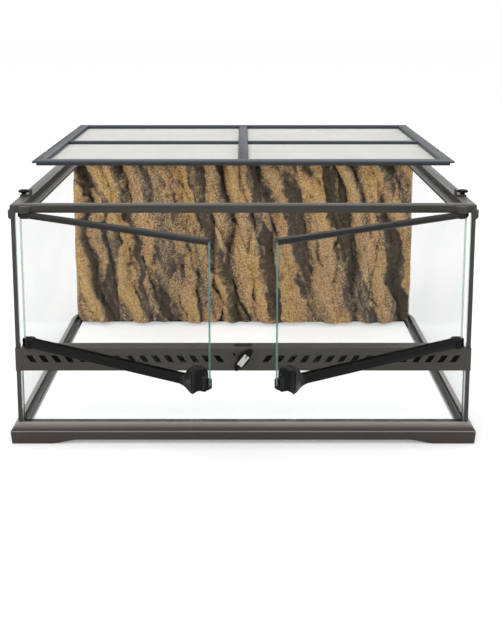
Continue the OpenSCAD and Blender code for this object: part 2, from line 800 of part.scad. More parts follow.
rock_cols = 58;
rock_rows = 28;
rock_half = inner_w - rock_gap;
rock_top = tank_h - rock_drop;
fine_phase = 60;

// A rounded ridge wave: 1 on a crest, 0 in a groove
function ridge(angle) = pow((1 + cos(angle)) / 2, 0.6);

// Relief from -1 to 1 at x across and z up the panel: slanting strata that
// wander, crossed by a slower swell and broken by small ledges
function strata(x, z) =
    let (
        wander = 13 * sin(z * 1.15 + x * 0.28) + 5 * sin(z * 3.1 - x * 0.9)
            + 11 * sin(x * 1.7 + 30),
        lean = x + 0.3 * z + wander,
        coarse = ridge(lean * 4.3 + 35 * sin(x * 0.9 + z * 0.5)),
        fine = ridge(lean * 8.9 - z * 0.75 + fine_phase),
        swell = sin(x * 0.55 + 20) * sin(z * 0.7 + fine_phase)
    )
    1.05 * coarse + 0.6 * fine + 0.3 * swell - 0.95;

function rock_point(i, j) =
    let (
        x = -rock_half + 2 * rock_half * i / (rock_cols - 1),
        z = floor_top + air + (rock_top - floor_top - air) * j / (rock_rows - 1),
        lift = max(-1, min(1, strata(x, z)))
    )
    [x, rear_inside - air - rock_t - relief * lift, z];

module rock_panel() color(rock_brown) from_front() {
    back = rear_inside - air;
    cols = rock_cols;
    rows = rock_rows;
    last = (rows - 1) * cols;
    front = [for (j = [0 : rows - 1], i = [0 : cols - 1]) rock_point(i, j)];
    // The same border again, on the flat back
    low_row = [for (i = [0 : cols - 1]) [front[i].x, back, front[i].z]];
    top_row = [for (i = [0 : cols - 1]) [front[last + i].x, back, front[last + i].z]];
    left_edge = [for (j = [1 : rows - 2]) [front[j * cols].x, back, front[j * cols].z]];
    right_edge = [for (p = left_edge) [-p.x, p.y, p.z]];
    low0 = rows * cols;
    top0 = low0 + cols;
    left0 = top0 + cols;
    right0 = left0 + rows - 2;
    left_back = concat([low0], [for (j = [1 : rows - 2]) left0 + j - 1], [top0]);
    right_back = concat([low0 + cols - 1], [for (j = [1 : rows - 2]) right0 + j - 1],
        [top0 + cols - 1]);
    facing = [
        for (j = [0 : rows - 2], i = [0 : cols - 2])
            let (a = j * cols + i, b = a + cols)
            each [[a, b, b + 1], [a, b + 1, a + 1]]
    ];
    rims = [
        for (i = [0 : cols - 2])
            each [[i, i + 1, low0 + i + 1, low0 + i],
                [last + i + 1, last + i, top0 + i, top0 + i + 1]]
    ];
    sides = [
        for (j = [0 : rows - 2])
            each [[(j + 1) * cols, j * cols, left_back[j], left_back[j + 1]],
                [j * cols + cols - 1, (j + 1) * cols + cols - 1, right_back[j + 1],
                    right_back[j]]]
    ];
    behind = [
        for (i = [1 : cols - 3]) [low0 + i, low0 + i + 1, top0 + i + 1, top0 + i]
    ];
    ends = [
        for (j = [0 : rows - 2])
            each [[left_back[j], low0 + 1, left_back[j + 1]],
                [right_back[j], right_back[j + 1], low0 + cols - 2]]
    ];
    tops = [[top0, low0 + 1, top0 + 1], [top0 + cols - 1, top0 + cols - 2, low0 + cols - 2]];
    polyhedron(concat(front, low_row, top_row, left_edge, right_edge),
        concat(facing, rims, sides, behind, ends, tops), convexity = 8);
}

base_frame();
floor_pane();
left_pane();
right_pane();
rear_pane();
front_pane();
silicone_seams();
left_lower_post();
right_lower_post();
left_upper_post();
right_upper_post();
vent_strip();
vent_mesh();
door_stop();
lock_stop_pin();
top_frame();
left_inlet_gate();
right_inlet_gate();
rock_panel();
lower_hinge_pins();
upper_hinge_pins();
left_door_pane();
left_door_top_rail();
left_door_bottom_rail();
left_door_handle();
right_door_pane();
right_door_top_rail();
right_door_bottom_rail();
right_door_handle();
lock_knob();
lock_insert();
lock_spindle();
lock_retainer();
lid_frame();
lid_middle_bar();
lid_cross_bars();
lid_screen_front_left();
lid_screen_front_right();
lid_screen_rear_left();
lid_screen_rear_right();
left_latch_slide();
left_latch_knob();
right_latch_slide();
right_latch_knob();
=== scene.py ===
"""Looks of a front-opening glass terrarium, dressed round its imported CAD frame.

The frame gives every solid at its real size, in metres, with Z up and the doors
towards -Y. Each sub-assembly is a class that copies or replaces its own CAD
nodes with softened, textured pieces, and every piece rides on the body that the
CAD gives it.
"""

from __future__ import annotations

import json
import logging
import math
from dataclasses import dataclass, field
from enum import Enum
from typing import Iterable, Sequence, Union

import bmesh
import bpy
import numpy as np
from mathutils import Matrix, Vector

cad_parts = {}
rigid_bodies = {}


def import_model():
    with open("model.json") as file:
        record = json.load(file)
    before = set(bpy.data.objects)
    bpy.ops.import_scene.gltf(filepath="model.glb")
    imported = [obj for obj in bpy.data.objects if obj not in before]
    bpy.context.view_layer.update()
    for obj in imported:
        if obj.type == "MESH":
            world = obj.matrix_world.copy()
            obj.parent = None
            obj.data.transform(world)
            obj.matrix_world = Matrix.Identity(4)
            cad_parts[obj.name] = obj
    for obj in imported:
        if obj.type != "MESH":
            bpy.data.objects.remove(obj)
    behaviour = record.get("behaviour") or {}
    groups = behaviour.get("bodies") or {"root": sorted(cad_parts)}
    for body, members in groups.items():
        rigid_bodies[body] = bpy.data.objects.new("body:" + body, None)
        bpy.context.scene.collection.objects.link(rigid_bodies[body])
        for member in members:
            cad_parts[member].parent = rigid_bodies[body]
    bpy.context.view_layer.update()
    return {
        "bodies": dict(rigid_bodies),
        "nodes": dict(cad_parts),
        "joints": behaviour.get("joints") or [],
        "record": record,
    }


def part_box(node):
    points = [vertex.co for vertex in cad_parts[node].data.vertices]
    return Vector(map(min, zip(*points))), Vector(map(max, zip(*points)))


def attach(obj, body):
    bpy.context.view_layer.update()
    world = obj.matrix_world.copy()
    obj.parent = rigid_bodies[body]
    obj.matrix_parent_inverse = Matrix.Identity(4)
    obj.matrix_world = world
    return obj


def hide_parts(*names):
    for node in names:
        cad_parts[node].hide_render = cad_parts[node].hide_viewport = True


LOG = logging.getLogger("terrarium")
MM = 0.001
WELD = 2e-6  # points of a CAD mesh that are closer than this are one
FLAT = math.radians(0.8)  # neighbouring faces that turn less than this are one
SHARP = math.radians(28)  # edges that turn more than this are rounded
GROUND_EDGE = 0.0003  # width of the ground edge along a pane

Colour = tuple[float, float, float]
Number = Union[float, int, "Signal"]


def linear(red: int, green: int, blue: int) -> Colour:
    """An 8-bit display colour, as Blender's shaders take it."""
    return tuple(((c / 255) / 12.92) if c <= 10 else (((c / 255) + 0.055) / 1.055) ** 2.4
                 for c in (red, green, blue))


# ---- node trees


class Signal:
    """A node's output that Python's operators add Math nodes to."""

    def __init__(self, graph: Graph, socket: bpy.types.NodeSocket) -> None:
        """Wraps one output socket of a graph."""
        self.graph = graph
        self.socket = socket

    def _math(self, operation: str, *values: Number) -> Signal:
        """One Math node on these values."""
        return self.graph.node("ShaderNodeMath", dict(enumerate(values)),
                               operation=operation)

    def __add__(self, other: Number) -> Signal:
        """self + other."""
        return self._math("ADD", self, other)

    __radd__ = __add__

    def __sub__(self, other: Number) -> Signal:
        """self - other."""
        return self._math("SUBTRACT", self, other)

    def __rsub__(self, other: Number) -> Signal:
        """other - self."""
        return self._math("SUBTRACT", other, self)

    def __mul__(self, other: Number) -> Signal:
        """self * other."""
        return self._math("MULTIPLY", self, other)

    __rmul__ = __mul__

    def __truediv__(self, other: Number) -> Signal:
        """self / other."""
        return self._math("DIVIDE", self, other)

    def floored(self) -> Signal:
        """The whole number below self."""
        return self._math("FLOOR", self)

    def clamped(self) -> Signal:
        """self, held between 0 and 1."""
        return self._math("MINIMUM", self._math("MAXIMUM", self, 0.0), 1.0)


class Graph:
    """A node tree, with short ways to add nodes to it."""

    def __init__(self, tree: bpy.types.NodeTree) -> None:
        """Takes a tree and empties it."""
        self.tree = tree
        tree.nodes.clear()

    def add(self, kind: str, sockets: dict | None = None,
            **settings: object) -> bpy.types.Node:
        """Adds one node.

        Args:
            kind: The node's type, such as ShaderNodeTexNoise.
            sockets: Values or signals of its inputs, by name or place.
            settings: Properties of the node, set first; "stops" fills a colour ramp.

        Returns:
            The node.
        """
        made = self.tree.nodes.new(kind)
        for key, value in settings.items():
            if key == "stops":
                self._fill_ramp(made.color_ramp, value)
            else:
                setattr(made, key, value)
        for key, value in (sockets or {}).items():
            self._feed(made.inputs[key], value)
        return made

    def node(self, kind: str, sockets: dict | None = None, output: int | str = 0,
             **settings: object) -> Signal:
        """One output of a new node, which is added as `add` says."""
        return Signal(self, self.add(kind, sockets, **settings).outputs[output])

    def vector(self, x: Number, y: Number, z: Number) -> Signal:
        """A vector of three numbers or signals."""
        return self.node("ShaderNodeCombineXYZ", {"X": x, "Y": y, "Z": z})

    def _feed(self, socket: bpy.types.NodeSocket, value: object) -> None:
        """Fills one input.

        Args:
            socket: The input.
            value: A signal, which is linked to it, or a plain value, which is set.
        """
        if isinstance(value, Signal):
            self.tree.links.new(value.socket, socket)
        elif socket.type == "RGBA" and len(value) == 3:
            socket.default_value = (*value, 1.0)
        else:
            socket.default_value = value

    @staticmethod
    def _fill_ramp(ramp: bpy.types.ColorRamp, stops: Sequence[tuple]) -> None:
        """Gives a colour ramp its stops.

        Args:
            ramp: The ramp.
            stops: Each stop's place, and its colour or grey.
        """
        while len(ramp.elements) > 1:
            ramp.elements.remove(ramp.elements[-1])
        for index, (place, shade) in enumerate(stops):
            element = ramp.elements[0] if index == 0 else ramp.elements.new(place)
            element.position = place
            colour = (shade,) * 3 if isinstance(shade, (int, float)) else shade
            element.color = (*colour, 1.0)


class ShaderGraph(Graph):
    """The node tree of a new material or world."""

    # A colour Mix node's sockets by place, because its sockets of each type share names
    MIX_FACTOR, MIX_FIRST, MIX_SECOND, MIX_RESULT = 0, 6, 7, 2
    # How far a pattern sways the share of the solid shader in a see-through one
    SPREAD = 0.2

    def __init__(self, owner: bpy.types.Material | bpy.types.World) -> None:
        """Takes over its owner's tree.

        Args:
            owner: A new material or world.
        """
        owner.use_nodes = True
        super().__init__(owner.node_tree)
        self.owner = owner

    def place(self) -> Signal:
        """The object coordinates of the shaded point."""
        return self.node("ShaderNodeTexCoord", output="Object")

    def noise(self, scale: float, detail: float = 2.0, roughness: float = 0.5,
              vector: Signal | None = None) -> Signal:
        """Noise from 0 to 1 with `scale` features per metre, on object coordinates."""
        return self.node("ShaderNodeTexNoise", {
            "Vector": vector or self.place(), "Scale": scale, "Detail": detail,
            "Roughness": roughness})

    def stretched(self, along: Sequence[float]) -> Signal:
        """Object coordinates, scaled by this much along each axis."""
        return self.node("ShaderNodeMapping", {"Vector": self.place(), "Scale": along})

    def ramp(self, factor: Signal, stops: Sequence[tuple]) -> Signal:
        """A colour ramp on a signal."""
        return self.node("ShaderNodeValToRGB", {"Fac": factor}, stops=stops)

    def mixed(self, factor: Number, first: object, second: object) -> Signal:
        """A colour mix from first, at factor 0, to second, at factor 1."""
        return self.node("ShaderNodeMix", {
            self.MIX_FACTOR: factor, self.MIX_FIRST: first, self.MIX_SECOND: second},
            self.MIX_RESULT, data_type="RGBA")

    def see_through(self, solid: Signal, body: float, pattern: Signal,
                    tint: Colour) -> Signal:
        """Mixes a solid shader with a clear one.

        Args:
            solid: The solid shader.
            body: Its mean share.
            pattern: A signal from 0 to 1 that makes the share uneven.
            tint: Colour of the light that passes.

        Returns:
            The mixed shader.
        """
        clear = self.node("ShaderNodeBsdfTransparent", {"Color": tint})
        share = (pattern * self.SPREAD + (body - self.SPREAD / 2)).clamped()
        return self.node("ShaderNodeMixShader", {0: share, 1: clear, 2: solid})

    def ray(self, kind: str) -> Signal:
        """1 for rays of that kind, such as Camera, and 0 for others."""
        return self.node("ShaderNodeLightPath", output=f"Is {kind} Ray")

    def bump(self, height: Signal, distance: float) -> Signal:
        """A normal raised by a height signal, distance in metres."""
        return self.node("ShaderNodeBump", {"Height": height, "Distance": distance})

    def finish(self, shader: Signal) -> bpy.types.Material | bpy.types.World:
        """Ends the tree with this shader and hands back its owner."""
        self.add("ShaderNodeOutput" + type(self.owner).__name__, {"Surface": shader})
        return self.owner


# ---- finishes


@dataclass(frozen=True)
class MouldedPlastic:
    """Injection-moulded plastic with a fine grain and faint handling marks.

    Its grain is a height in metres. Light from above is painted on: a face that
    looks straight up takes `sheen` of a paler, greyer colour `haze` times as light,
    and `focus` keeps that painted light to faces near level. The palest patches are
    `mottle` times as light as the rest.
    """

    name: str
    colour: Colour
    roughness: float
    grain: float = 0.00004
    gloss: float = 0.3
    sheen: float = 0.0
    haze: float = 4.0
    focus: int = 1
    mottle: float = 1.28

    def build(self) -> bpy.types.Material:
        """Mixes the plastic.

        Returns:
            The new material.
        """
        g = ShaderGraph(bpy.data.materials.new(self.name))
        cloud = g.noise(14, 3)
        scuff = g.noise(160, 4, 0.65, g.stretched((1.0, 1.0, 0.25)))
        grain = g.noise(2600, 2)
        tone = tuple(c * self.mottle for c in self.colour)
        colour = g.mixed((cloud * 0.6 + scuff * 0.4).clamped(), self.colour, tone)
        if self.sheen:
            # Painted light: faces that look up are painted paler and greyer, as if lit from above
            grey = sum(self.colour) / 3
            pale = tuple((c + grey) / 2 * self.haze for c in self.colour)
            up = g.node("ShaderNodeSeparateXYZ", {
                "Vector": g.node("ShaderNodeNewGeometry", output="Normal")}, "Z").clamped()
            share = up
            for _ in range(self.focus - 1):
                share = share * up
            colour = g.mixed(share * self.sheen, colour, pale)
        rough = (self.roughness - 0.08) + cloud * 0.08 + scuff * 0.1
        shader = g.node("ShaderNodeBsdfPrincipled", {
            "Base Color": colour, "Roughness": rough, "Specular IOR Level": self.gloss,
            "Normal": g.bump(grain + scuff * 0.4, self.grain)})
        return g.finish(shader)


@dataclass(frozen=True)
class FloatGlass:
    """Clear float glass: nearly all of the light passes, the rest is reflected.

    It reflects `least` of the light, and at most `smear` more where it was touched
    and `gloss` more at a grazing angle.
    """

    name: str
    tint: Colour
    gloss: float
    smear: float = 0.003
    least: float = 0.001
    mirror: Colour = linear(238, 242, 240)

    def build(self) -> bpy.types.Material:
        """Mixes the look of a pane's two faces.

        Returns:
            The new material.
        """
        g = ShaderGraph(bpy.data.materials.new(self.name))
        clear = g.node("ShaderNodeBsdfTransparent", {"Color": self.tint})
        shine = g.node("ShaderNodeBsdfPrincipled", {
            "Base Color": self.mirror, "Roughness": 0.03, "IOR": 1.5, "Metallic": 1.0})
        smear = g.noise(9, 3)
        facing = g.node("ShaderNodeLayerWeight", {"Blend": 0.5}, "Facing")
        grazing = facing * facing * facing * facing
        amount = (grazing * self.gloss + smear * self.smear + self.least).clamped()
        return g.finish(g.node("ShaderNodeMixShader", {0: amount, 1: clear, 2: shine}))


@dataclass(frozen=True)
class GlassEdge:
    """The ground edge of a pane: green by `body`, with ripples that glow, else clear."""

    name: str
    colour: Colour
    body: float
    glow: float = 1.7

    def build(self) -> bpy.types.Material:
        """Mixes the look of a pane's narrow edges.

        Returns:
            The new material.
        """
        g = ShaderGraph(bpy.data.materials.new(self.name))
        ripple = g.noise(90, 2, 0.5, g.stretched((1.0, 1.0, 0.2)))
        light = tuple(min(1.0, c * self.glow) for c in self.colour)
        green = g.node("ShaderNodeBsdfPrincipled", {
            "Base Color": g.mixed(ripple, self.colour, light), "Roughness": 0.18, "IOR": 1.5})
        return g.finish(g.see_through(green, self.body, ripple, light))


@dataclass(frozen=True)
class Silicone:
    """Silicone sealant: cloudy by `body`, with milky lumps, and else clear."""

    name: str
    colour: Colour
    body: float
    milk: float = 1.3
    tint: Colour = (0.93, 0.95, 0.94)

    def build(self) -> bpy.types.Material:
        """Mixes the sealant.

        Returns:
            The new material.
        """
        g = ShaderGraph(bpy.data.materials.new(self.name))
        lumps = g.noise(60, 3)
        cloudy = tuple(c * self.milk for c in self.colour)
        milky = g.node("ShaderNodeBsdfPrincipled", {
            "Base Color": g.mixed(lumps, self.colour, cloudy), "Roughness": 0.3,
            "Normal": g.bump(lumps, 0.0002)})
        return g.finish(g.see_through(milky, self.body, lumps, self.tint))


@dataclass(frozen=True)
class BrightMetal:
    """Turned or drawn metal, with fine dark lines where `lines` scales least."""

    name: str
    colour: Colour
    roughness: float
    lines: tuple[float, float, float] = (1.0, 1.0, 0.05)
    shadow: float = 0.75

    def build(self) -> bpy.types.Material:
        """Mixes the metal.

        Returns:
            The new material.
        """
        g = ShaderGraph(bpy.data.materials.new(self.name))
        drawn = g.noise(1800, 3, 0.6, g.stretched(self.lines))
        dark = tuple(c * self.shadow for c in self.colour)
        shader = g.node("ShaderNodeBsdfPrincipled", {
            "Base Color": g.mixed(drawn, dark, self.colour), "Metallic": 1.0,
            "Roughness": (self.roughness - 0.06) + drawn * 0.12,
            "Normal": g.bump(drawn, 0.00002)})
        return g.finish(shader)


@dataclass(frozen=True)
class SandyRock:
    """Foam rock, coated with sand on its crests, with painted shade in its grooves and
    painted highlights on its edges.

    The first six colours after the name go from the crests down to the shade.
    """

    name: str
    crest: Colour = linear(255, 198, 116)
    sand: Colour = linear(248, 187, 140)
    earth: Colour = linear(182, 140, 109)
    slate: Colour = linear(126, 109, 107)
    dust: Colour = linear(114, 99, 85)
    shade: Colour = linear(94, 84, 70)
    groove: Colour = linear(46, 40, 33)
    pit: Colour = linear(104, 76, 56)
    glint: Colour = linear(255, 234, 180)

    def build(self) -> bpy.types.Material:
        """Mixes the rock's paint and sand, led by the panel's three attributes.

        Returns:
            The new material.
        """
        g = ShaderGraph(bpy.data.materials.new(self.name))
        lift, wash, cavity = (
            g.node("ShaderNodeAttribute", output="Fac", attribute_name=title)
            for title in ("lift", "wash", "cavity"))
        ragged = g.noise(60, 6, 0.75)
        broad = g.noise(13, 3, 0.55)
        grain = g.noise(250, 4, 0.8)
        fine = g.noise(900, 2, 0.6)
        grains = g.node("ShaderNodeTexVoronoi", {"Vector": g.place(), "Scale": 620.0},
                        "Color")
        # The lift attribute carries painted light from the left, so these ramps paint the sides
        # that face left lighter
        height = (lift + (ragged - 0.5) * 0.42).clamped()
        warm = g.ramp(height, [(0.0, self.groove), (0.08, self.shade), (0.36, self.dust),
                               (0.45, self.earth), (0.57, self.sand), (0.82, self.crest)])
        cool = g.ramp(height, [(0.0, self.groove), (0.1, self.shade), (0.42, self.slate),
                               (0.66, self.earth), (0.92, self.sand)])
        body = g.mixed((wash + (broad - 0.5) * 0.9).clamped(), warm, cool)
        # Sand shows most where the coat is thick, on the crests
        coat = g.ramp(height, [(0.3, 0.08), (0.48, 0.75), (0.62, 1.0)])
        speckle = grains * 0.75 + grain * 0.25
        pits = g.ramp(speckle, [(0.3, 1.0), (0.5, 0.0)])
        colour = g.mixed(pits * coat * 0.46, body, self.pit)
        sparks = g.ramp(speckle, [(0.48, 0.0), (0.7, 1.0)])
        colour = g.mixed(sparks * coat * 0.85, colour, self.glint)
        # Painted shade darkens the cracks, and a painted highlight lightens the edges
        colour = g.mixed(g.ramp(cavity, [(0.2, 0.85), (0.46, 0.0)]), colour, self.groove)
        colour = g.mixed(g.ramp(cavity, [(0.54, 0.0), (0.78, 0.4)]), colour, self.glint)
        relief = grain * 0.8 + fine * 0.3 + ragged * 0.6 + grains * 0.25
        shader = g.node("ShaderNodeBsdfPrincipled", {
            "Base Color": colour, "Roughness": 0.92, "Specular IOR Level": 0.15,
            "Normal": g.bump(relief, 0.005)})
        return g.finish(shader)


class Finish(Enum):
    """The finishes of the terrarium, each built once."""

    # CHARCOAL, STRIP, BASE and RAIL are painted lighter on faces that look up, through sheen; on
    # BASE this is a painted highlight along the shoulder
    CHARCOAL = MouldedPlastic("charcoal plastic", linear(56, 54, 50), 0.33, gloss=0.2, sheen=0.7)
    STRIP = MouldedPlastic("strip plastic", linear(60, 58, 53), 0.33, gloss=0.2, sheen=0.2)
    BASE = MouldedPlastic("base plastic", linear(57, 53, 49), 0.3, gloss=0.2, sheen=1.0, haze=9.0,
                          focus=5)
    LID = MouldedPlastic("blue-black lid plastic", linear(66, 70, 75), 0.34, gloss=0.05)
    RAIL = MouldedPlastic("door rail plastic", linear(30, 29, 27), 0.3, gloss=0.15, sheen=0.7)
    BLACK = MouldedPlastic("black plastic", linear(11, 10, 9), 0.22, 0.00002, 0.1)
    GLASS = FloatGlass("clear glass", (0.956, 0.959, 0.96), 0.12)
    EDGE = GlassEdge("green glass edge", linear(98, 128, 120), 0.6)
    SEALED_EDGE = GlassEdge("sealed glass edge", linear(158, 170, 164), 0.3)
    SEALANT = Silicone("clear silicone", (0.1, 0.105, 0.1), 0.7)
    STEEL = BrightMetal("pin steel", (0.62, 0.62, 0.6), 0.3)
    SILVER = BrightMetal("silver insert", (0.52, 0.52, 0.51), 0.42, (0.05, 1.0, 1.0))
    LID_WIRE = MouldedPlastic("lid mesh wire", linear(212, 212, 208), 0.5)
    VENT_WIRE = MouldedPlastic("vent mesh wire", linear(14, 14, 14), 0.6, 0.00002, 0.05)
    ROCK = SandyRock("sandy rock")

    @property
    def material(self) -> bpy.types.Material:
        """The finish's material, made at its first use."""
        made = bpy.data.materials.get(self.value.name)
        return made or self.value.build()


# ---- mesh helpers


def linked(data: bpy.types.ID) -> bpy.types.Object:
    """Puts a new object at the scene's origin.

    Args:
        data: Its mesh, lamp or camera, whose name it takes.

    Returns:
        The object.
    """
    made = bpy.data.objects.new(data.name, data)
    bpy.context.scene.collection.objects.link(made)
    return made


def shown(name: str, bm: bmesh.types.BMesh, *coats: bpy.types.Material) -> bpy.types.Object:
    """Makes an object of a bmesh, which is freed.

    Args:
        name: The object's name.
        bm: Its faces, at their place.
        coats: Its materials, in their slots' order.

    Returns:
        The object, linked.
    """
    mesh = bpy.data.meshes.new(name)
    bm.to_mesh(mesh)
    bm.free()
    for coat in coats:
        mesh.materials.append(coat)
    return linked(mesh)


def baked(piece: bpy.types.Object) -> bpy.types.Object:
    """Turns a piece's modifiers into plain mesh and removes them.

    Args:
        piece: An object whose modifiers are live.

    Returns:
        The same object.
    """
    graph = bpy.context.evaluated_depsgraph_get()
    solid = bpy.data.meshes.new_from_object(piece.evaluated_get(graph))
    piece.modifiers.clear()
    piece.data = solid
    return piece


@dataclass(frozen=True)
class Shoulder:
    """The flat slope round a frame, shaded as a rolled one with a bead at its foot.

    Its faces lie no lower than `reach` under the foot, with a normal whose Z is
    within `sloping`, and the bead is that high. The slope looks up by `foot_tilt`
    degrees at its foot and by `roll` more at its top.
    """

    foot: float
    top: float
    reach: float = 1 * MM
    bead: float = 0.6 * MM
    bead_tilt: float = 66.0
    foot_tilt: float = 8.0
    roll: float = 76.0
    sloping: tuple[float, float] = (0.1, 0.97)

    def shade(self, mesh: bpy.types.Mesh) -> None:
        """Turns the normals at the slope's corners, and moves nothing.

        Args:
            mesh: The frame's mesh.
        """
        normals = [tuple(corner.vector) for corner in mesh.corner_normals]
        least, greatest = self.sloping
        for face in mesh.polygons:
            if face.center.z < self.foot - self.reach or not least < face.normal.z < greatest:
                continue
            outward = face.normal.to_2d().normalized()
            on_bead = face.center.z < self.foot + self.bead
            for corner in face.loop_indices:
                height = mesh.vertices[mesh.loops[corner].vertex_index].co.z
                share = min(max((height - self.foot) / (self.top - self.foot), 0.0), 1.0)
                tilt = math.radians(
                    self.bead_tilt if on_bead else self.foot_tilt + self.roll * share)
                normals[corner] = (*(outward * math.cos(tilt)), math.sin(tilt))
        mesh.normals_split_custom_set(normals)


@dataclass
class Part:
    """What every sub-assembly shares: the frame, and ways to dress its nodes."""

    frame: dict

    def body(self, node: str) -> str:
        """The CAD body that a node belongs to."""
        bodies = self.frame["record"]["behaviour"]["bodies"]
        return next(name for name, nodes in bodies.items() if node in nodes)

    def slot(self, node: str) -> str:
        """The record's material slot of a node."""
        rows = self.frame["record"]["subparts"]
        return next(row["material_slot"] for row in rows if row["node"] == node)

    def merged(self, node: str) -> bmesh.types.BMesh:
        """A clean copy of a CAD node's mesh, with flat faces joined.

        Args:
            node: The CAD node's name.

        Returns:
            Its surface as a bmesh, welded and without needless edges.
        """
        bm = bmesh.new()
        bm.from_mesh(self.frame["nodes"][node].data)
        bmesh.ops.remove_doubles(bm, verts=bm.verts, dist=WELD)
        bmesh.ops.dissolve_limit(bm, angle_limit=FLAT, verts=bm.verts, edges=bm.edges)
        return bm

    def settle(self, piece: bpy.types.Object, *nodes: str) -> bpy.types.Object:
        """Makes a finished piece stand for its nodes and ride with their body.

        Args:
            piece: The piece, at the origin and without modifiers.
            nodes: The CAD nodes that it replaces.

        Returns:
            The same piece.
        """
        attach(piece, self.body(nodes[0]))
        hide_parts(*nodes)
        self.slot(nodes[0])
        LOG.info("%s stands for %s, %d faces", piece.name, ", ".join(nodes),
                 len(piece.data.polygons))
        return piece

    def softened(self, node: str, finish: Finish, width: float,
                 segments: int = 2) -> bpy.types.Object:
        """Replaces a node with a copy whose sharp edges are rounded.

        Args:
            node: The CAD node's name.
            finish: Its finish.
            width: Width of the rounding, in metres.
            segments: Faces across the rounding.

        Returns:
            The new piece.
        """
        bm = self.merged(node)
        for face in bm.faces:
            face.smooth = True
        piece = shown(node + "_look", bm, finish.material)
        bevel = piece.modifiers.new("rounding", "BEVEL")
        bevel.width = width
        bevel.segments = segments
        bevel.limit_method = "ANGLE"
        bevel.angle_limit = SHARP
        bevel.harden_normals = True
        return self.settle(baked(piece), node)

    def glazed(self, node: str, edges: Finish,
               sealed_beyond: float = math.inf) -> bpy.types.Object:
        """Replaces a pane with one that has ground edges.

        Args:
            node: The pane's CAD node.
            edges: Finish of its edges.
            sealed_beyond: How far out, in metres, its edges are covered and sealed.

        Returns:
            The new piece.
        """
        bm = self.merged(node)
        bmesh.ops.bevel(bm, geom=list(bm.edges), offset=GROUND_EDGE, segments=1,
                        affect="EDGES")
        widest = max(face.calc_area() for face in bm.faces)
        for face in bm.faces:
            wide = face.calc_area() > widest * 0.5
            covered = abs(face.calc_center_median().x) > sealed_beyond
            face.material_index = 0 if wide else 2 if covered else 1
        piece = shown(node + "_look", bm, *(
            finish.material for finish in (Finish.GLASS, edges, Finish.SEALED_EDGE)))
        return self.settle(piece, node)


# ---- geometry nodes


class WireCloth:
    """A Geometry Nodes tree that lays two crossed sets of wires over a panel."""

    INPUTS = {"Width": "Float", "Depth": "Float", "Pitch": "Float", "Wire": "Float",
              "Centre": "Vector", "Tilt": "Vector", "Finish": "Material"}
    # Height of each set over the cloth's middle, in wire widths
    LEVEL = 0.45

    def __init__(self, name: str) -> None:
        """Builds the tree with its named inputs.

        Args:
            name: The tree's name.
        """
        tree = bpy.data.node_groups.new(name, "GeometryNodeTree")
        face = tree.interface
        face.new_socket("Geometry", in_out="OUTPUT", socket_type="NodeSocketGeometry")
        self.inputs = {
            title: face.new_socket(title, in_out="INPUT",
                                   socket_type="NodeSocket" + kind).identifier
            for title, kind in self.INPUTS.items()}
        self.graph = Graph(tree)
        self._wire_up()

    def _row(self, given: dict[str, Signal], run: str, across: str, turn: float,
             level: float) -> Signal:
        """One set of parallel wires.

        Args:
            given: The group's inputs.
            run: Name of the input that gives the wires' length.
            across: Name of the input that they are spread over.
            turn: Angle of the set about Z, in radians.
            level: Height of the set, in wire widths.

        Returns:
            The geometry of the set, as instances.
        """
        g, wire, pitch = self.graph, given["Wire"], given["Pitch"]
        bar = g.node("GeometryNodeMeshCube", {"Size": g.vector(given[run], wire, wire)})
        count = (given[across] / pitch).floored()
        first = (count - 1.0) * 0.5 * pitch * -1.0
        line = g.node("GeometryNodeMeshLine", {
            "Count": count, "Start Location": g.vector(0.0, first, wire * level),
            "Offset": g.vector(0.0, pitch, 0.0)}, mode="OFFSET")
        spread = g.node("GeometryNodeInstanceOnPoints", {"Points": line, "Instance": bar})
        return g.node("GeometryNodeTransform", {
            "Geometry": spread, "Rotation": (0.0, 0.0, turn)})

    def _wire_up(self) -> None:
        """Lays both sets, puts them in place and gives them their finish."""
        g = self.graph
        source = g.add("NodeGroupInput")
        given = {title: Signal(g, source.outputs[title]) for title in self.inputs}
        warp = self._row(given, "Width", "Depth", 0.0, self.LEVEL)
        weft = self._row(given, "Depth", "Width", math.pi / 2, -self.LEVEL)
        both = g.add("GeometryNodeJoinGeometry")
        for row in (warp, weft):
            g.tree.links.new(row.socket, both.inputs[0])
        put = g.node("GeometryNodeTransform", {
            "Geometry": Signal(g, both.outputs[0]), "Translation": given["Centre"],
            "Rotation": given["Tilt"]})
        real = g.node("GeometryNodeRealizeInstances", {"Geometry": put})
        dressed = g.node("GeometryNodeSetMaterial", {
            "Geometry": real, "Material": given["Finish"]})
        g.add("NodeGroupOutput", {0: dressed})

    def lay(self, node: str, pitch: float, wire: float, finish: Finish,
            upright: bool = False) -> bpy.types.Object:
        """Lays the cloth over the box of a CAD node.

        Args:
            node: The CAD node's name.
            pitch: Distance between two wires, in metres.
            wire: Width of a wire.
            finish: The wire's finish.
            upright: Whether the node stands across the tank or lies flat.

        Returns:
            The cloth as plain mesh.
        """
        piece = linked(bpy.data.meshes.new(node + "_look"))
        modifier = piece.modifiers.new("wire cloth", "NODES")
        modifier.node_group = self.graph.tree
        low, high = (Vector(corner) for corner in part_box(node))
        values = {"Width": high.x - low.x,
                  "Depth": high.z - low.z if upright else high.y - low.y,
                  "Pitch": pitch, "Wire": wire, "Centre": tuple((low + high) / 2),
                  "Tilt": (math.pi / 2 if upright else 0.0, 0.0, 0.0),
                  "Finish": finish.material}
        for title, value in values.items():
            modifier[self.inputs[title]] = value
        return baked(piece)


# ---- sub-assemblies


class Side(Enum):
    """A side of the tank, seen from the doors."""

    LEFT = "left"
    RIGHT = "right"


